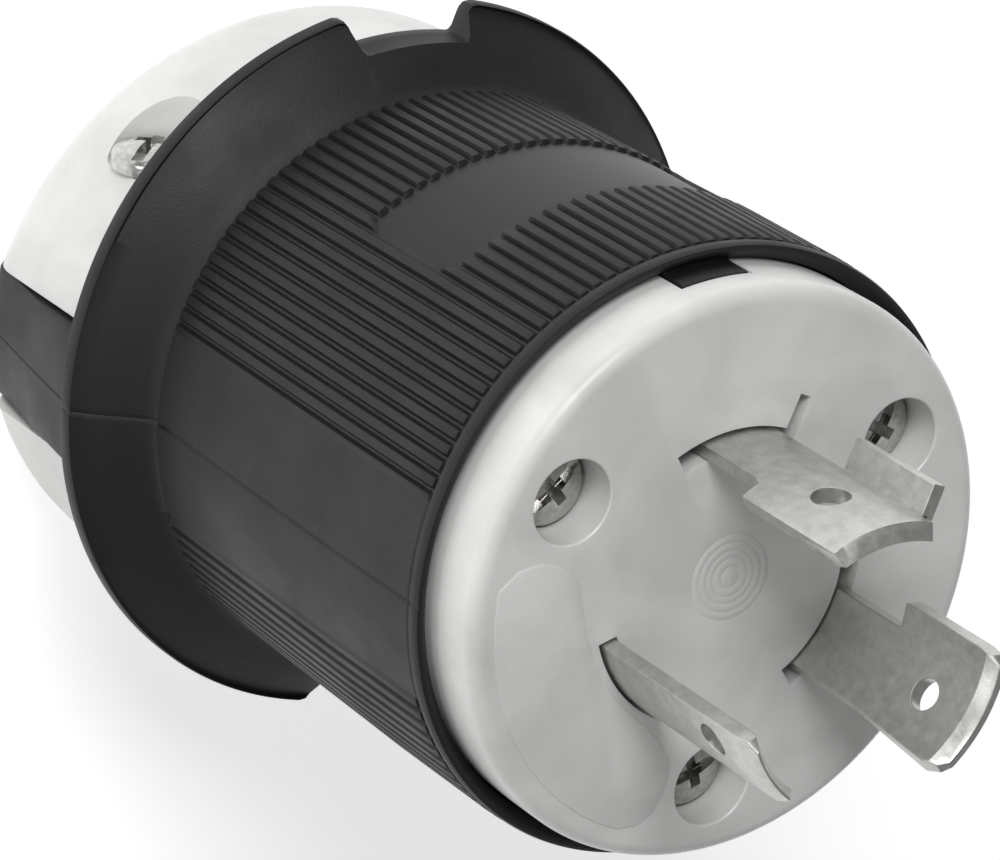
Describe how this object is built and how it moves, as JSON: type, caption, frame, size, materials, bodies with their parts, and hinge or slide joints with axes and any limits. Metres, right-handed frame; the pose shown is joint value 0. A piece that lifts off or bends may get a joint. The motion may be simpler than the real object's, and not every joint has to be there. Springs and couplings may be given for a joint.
{
  "type": "locking cord plug",
  "caption": "Three-blade twist-lock power plug for a cord, with a ribbed black grip and flange, a white blade face and a white two-jaw cord clamp.",
  "frame": {"origin": "on the plug's axis at the plane of the cord end, where the shell's two arms end", "axes": "+Z along the plug towards the blades, +Y towards the ground blade and the label panel, +X to the right when the blades face the viewer and +Y is up"},
  "size_m": [0.071, 0.0712, 0.106],
  "materials": {
    "black_nylon": "moulded satin black, finely eroded surface",
    "white_nylon": "moulded natural white, slightly translucent",
    "rear_nylon": "moulded off-white",
    "jaw_nylon": "moulded natural white, slightly translucent",
    "seal_rubber": "moulded black, matt",
    "blade_brass": "nickel-plated brass, drawn lengthwise",
    "plate_steel": "zinc-plated pressed steel",
    "green_screw": "green-dyed steel, satin",
    "terminal_brass": "turned brass, bright",
    "screw_steel": "nickel-plated steel, cold-headed",
    "insert_brass": "turned brass, knurled",
    "nut_steel": "zinc-plated steel"
  },
  "bodies": {
    "plug_body": {"grip_shell": "black_nylon", "front_face": "white_nylon", "rear_body": "rear_nylon", "dust_seal": "seal_rubber", "ground_blade": "blade_brass", "line_x_blade": "blade_brass", "line_y_blade": "blade_brass", "face_screw_left": "screw_steel", "face_screw_right": "screw_steel", "face_screw_bottom": "screw_steel", "screw_insert_left": "insert_brass", "screw_insert_right": "insert_brass", "screw_insert_bottom": "insert_brass"},
    "upper_jaw_body": {"upper_jaw": "jaw_nylon"},
    "lower_jaw_body": {"lower_jaw": "jaw_nylon", "clamp_nut_left": "nut_steel", "clamp_nut_right": "nut_steel"},
    "clamp_screw_left_body": {"clamp_screw_left": "screw_steel"},
    "clamp_screw_right_body": {"clamp_screw_right": "screw_steel"},
    "ground_clamp_body": {"ground_clamp_plate": "plate_steel"},
    "ground_screw_body": {"ground_terminal_screw": "green_screw"},
    "line_x_clamp_body": {"line_x_clamp_plate": "plate_steel"},
    "line_x_screw_body": {"line_x_terminal_screw": "terminal_brass"},
    "line_y_clamp_body": {"line_y_clamp_plate": "plate_steel"},
    "line_y_screw_body": {"line_y_terminal_screw": "terminal_brass"}
  },
  "joints": [
    {"name": "upper_jaw_slide", "type": "slide", "parent": "plug_body", "child": "upper_jaw_body", "axis": [0, 1, 0], "range_m": [0, 0.005]},
    {"name": "lower_jaw_slide", "type": "slide", "parent": "plug_body", "child": "lower_jaw_body", "axis": [0, 1, 0], "range_m": [-0.005, 0]},
    {"name": "clamp_screw_left_turn", "type": "hinge", "parent": "upper_jaw_body", "child": "clamp_screw_left_body", "pos_m": [-0.0215, 0.02, 0.0138], "axis": [0, 1, 0], "range_deg": [0, 3403.7]},
    {"name": "clamp_screw_right_turn", "type": "hinge", "parent": "upper_jaw_body", "child": "clamp_screw_right_body", "pos_m": [0.0215, 0.02, 0.0138], "axis": [0, 1, 0], "range_deg": [0, 3403.7]},
    {"name": "ground_plate_slide", "type": "slide", "parent": "plug_body", "child": "ground_clamp_body", "axis": [0, 1, 0], "range_m": [0, 0.0035]},
    {"name": "ground_screw_turn", "type": "hinge", "parent": "ground_clamp_body", "child": "ground_screw_body", "pos_m": [0, 0.01676, 0.055], "axis": [0, 1, 0], "range_deg": [0, 1587.9]},
    {"name": "line_x_plate_slide", "type": "slide", "parent": "plug_body", "child": "line_x_clamp_body", "axis": [0.866, -0.5, 0], "range_m": [0, 0.0035]},
    {"name": "line_x_screw_turn", "type": "hinge", "parent": "line_x_clamp_body", "child": "line_x_screw_body", "pos_m": [0.01452, -0.00838, 0.055], "axis": [0.866, -0.5, 0], "range_deg": [0, 1587.9]},
    {"name": "line_y_plate_slide", "type": "slide", "parent": "plug_body", "child": "line_y_clamp_body", "axis": [-0.866, -0.5, 0], "range_m": [0, 0.0035]},
    {"name": "line_y_screw_turn", "type": "hinge", "parent": "line_y_clamp_body", "child": "line_y_screw_body", "pos_m": [-0.01452, -0.00838, 0.055], "axis": [-0.866, -0.5, 0], "range_deg": [0, 1587.9]}
  ],
  "couplings": [
    {"joint": "lower_jaw_slide", "follows": "upper_jaw_slide", "ratio": -1},
    {"joint": "clamp_screw_left_turn", "follows": "upper_jaw_slide", "rad_per_m": 11878},
    {"joint": "clamp_screw_right_turn", "follows": "upper_jaw_slide", "rad_per_m": 11878},
    {"joint": "ground_screw_turn", "follows": "ground_plate_slide", "rad_per_m": 7913.3},
    {"joint": "line_x_screw_turn", "follows": "line_x_plate_slide", "rad_per_m": 7913.3},
    {"joint": "line_y_screw_turn", "follows": "line_y_plate_slide", "rad_per_m": 7913.3}
  ]
}
